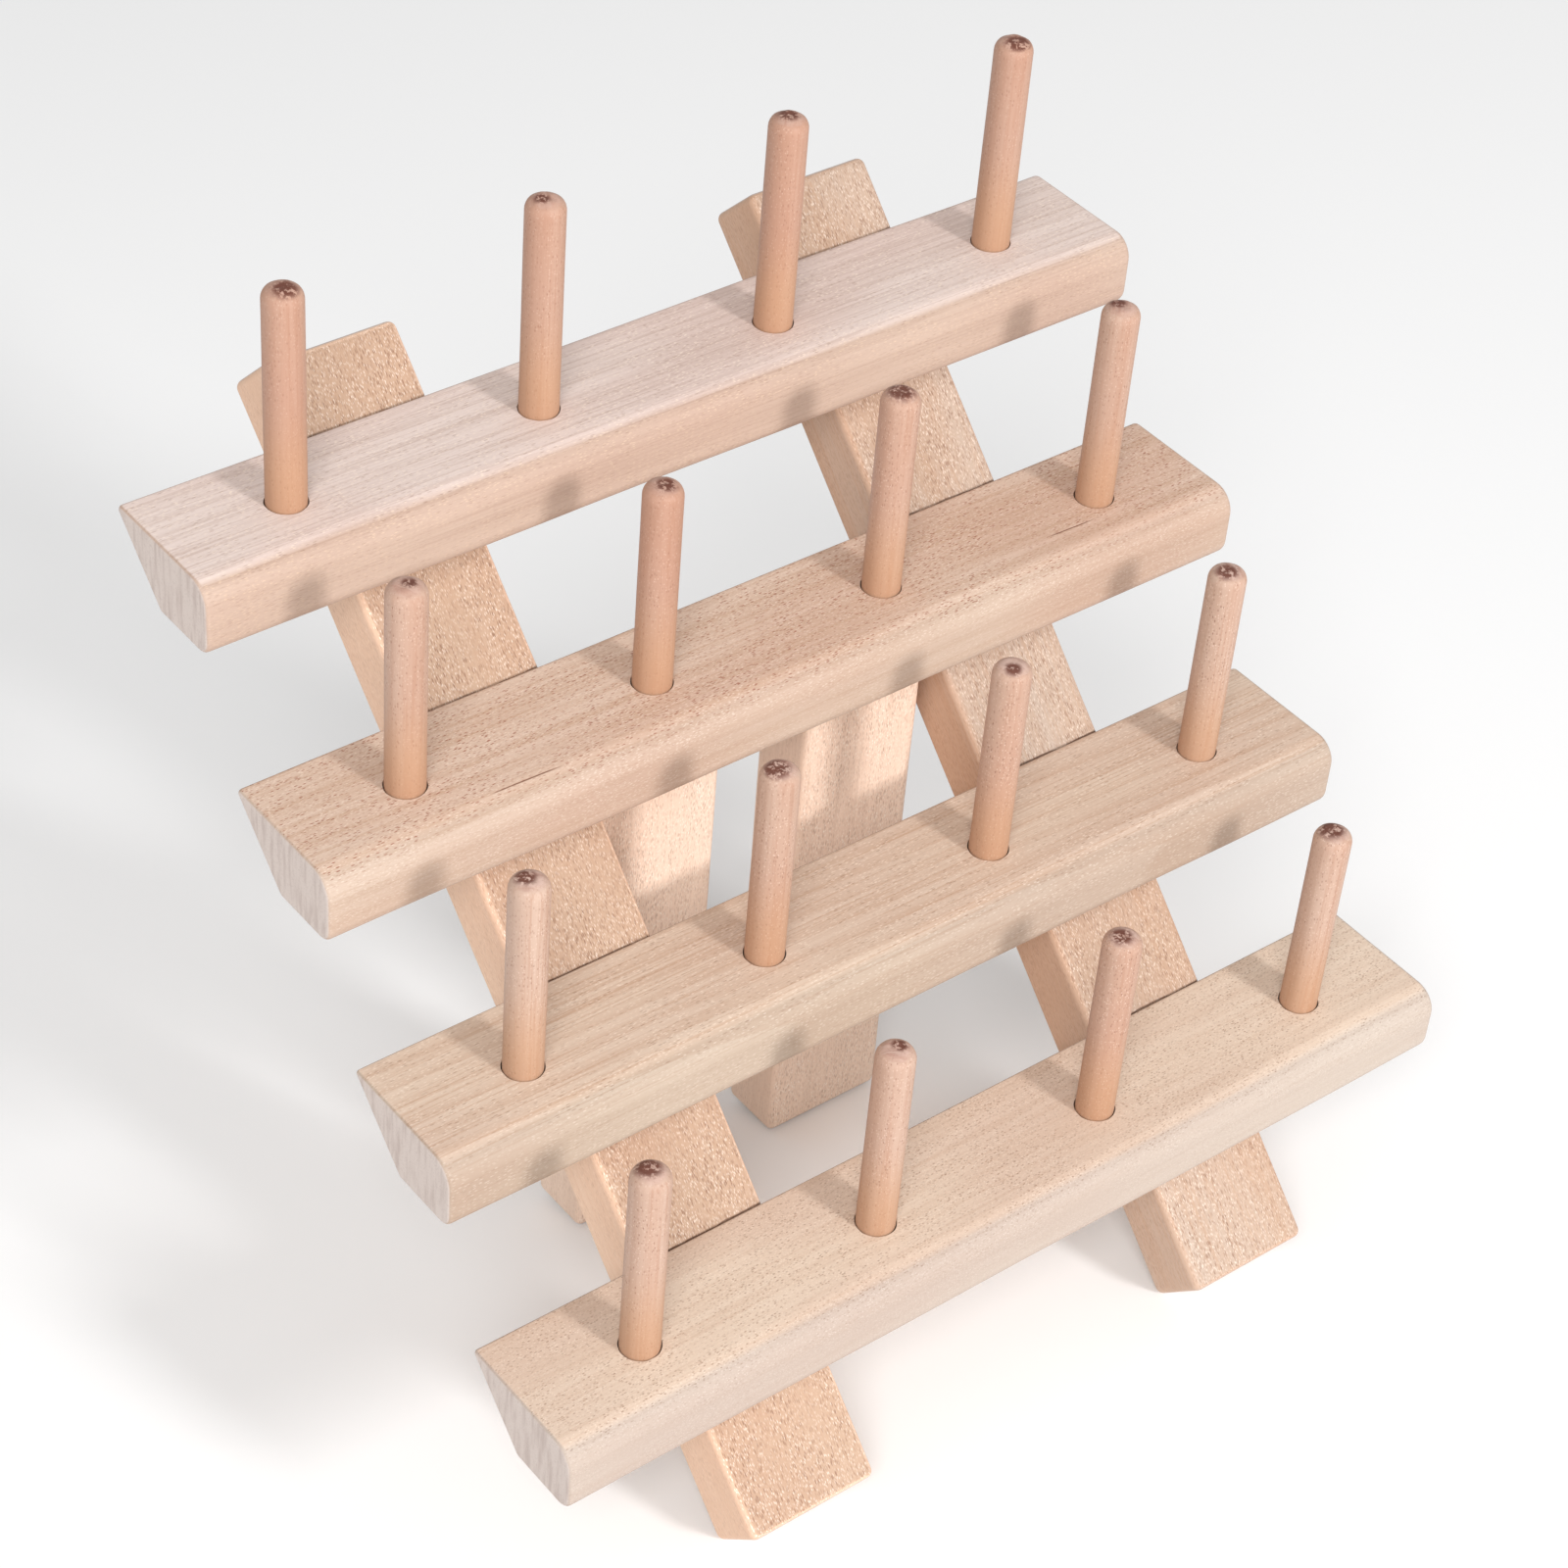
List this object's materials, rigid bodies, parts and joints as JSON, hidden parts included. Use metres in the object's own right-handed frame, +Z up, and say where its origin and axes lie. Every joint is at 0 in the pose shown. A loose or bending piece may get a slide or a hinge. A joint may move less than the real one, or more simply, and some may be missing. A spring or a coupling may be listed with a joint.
{
  "type": "spool holder stand",
  "caption": "Folding wooden stand whose leaning stiles carry stepped rails of upright pegs for spools, propped open by two hinged legs.",
  "frame": {"origin": "on the floor under the middle of the stand's box", "axes": "+X along the rails to the right, +Y to the back, +Z up; the pegs tip 7 degrees forward of +Z"},
  "size_m": [0.1968, 0.1414, 0.2076],
  "materials": {
    "rail_wood": "bare sanded beech, fine short flecks along the grain",
    "stile_wood": "bare sanded beech, coarser speckled face",
    "leg_wood": "bare sanded beech, coarser speckled face",
    "peg_wood": "bare turned dowel, darker and warmer, brown end grain",
    "plated_steel": "zinc plated"
  },
  "bodies": {
    "rack": {"stile_left": "stile_wood", "stile_right": "stile_wood", "rail_1": "rail_wood", "rail_2": "rail_wood", "rail_3": "rail_wood", "rail_4": "rail_wood", "peg_1_1": "peg_wood", "peg_1_2": "peg_wood", "peg_1_3": "peg_wood", "peg_1_4": "peg_wood", "peg_2_1": "peg_wood", "peg_2_2": "peg_wood", "peg_2_3": "peg_wood", "peg_2_4": "peg_wood", "peg_3_1": "peg_wood", "peg_3_2": "peg_wood", "peg_3_3": "peg_wood", "peg_3_4": "peg_wood", "peg_4_1": "peg_wood", "peg_4_2": "peg_wood", "peg_4_3": "peg_wood", "peg_4_4": "peg_wood", "rail_screw_1_left": "plated_steel", "rail_screw_1_right": "plated_steel", "rail_screw_2_left": "plated_steel", "rail_screw_2_right": "plated_steel", "rail_screw_3_left": "plated_steel", "rail_screw_3_right": "plated_steel", "rail_screw_4_left": "plated_steel", "rail_screw_4_right": "plated_steel", "pivot_screw_left": "plated_steel", "spacer_washer_left": "plated_steel", "head_washer_left": "plated_steel", "pivot_screw_right": "plated_steel", "spacer_washer_right": "plated_steel", "head_washer_right": "plated_steel"},
    "left_leg": {"leg_left": "leg_wood"},
    "right_leg": {"leg_right": "leg_wood"}
  },
  "joints": [
    {"name": "left_leg_fold", "type": "hinge", "parent": "rack", "child": "left_leg", "pos_m": [-0.0229, 0.01415, 0.1071], "axis": [-1, 0, 0], "range_deg": [0, 45]},
    {"name": "right_leg_fold", "type": "hinge", "parent": "rack", "child": "right_leg", "pos_m": [0.0229, 0.01415, 0.1071], "axis": [-1, 0, 0], "range_deg": [0, 45]}
  ]
}
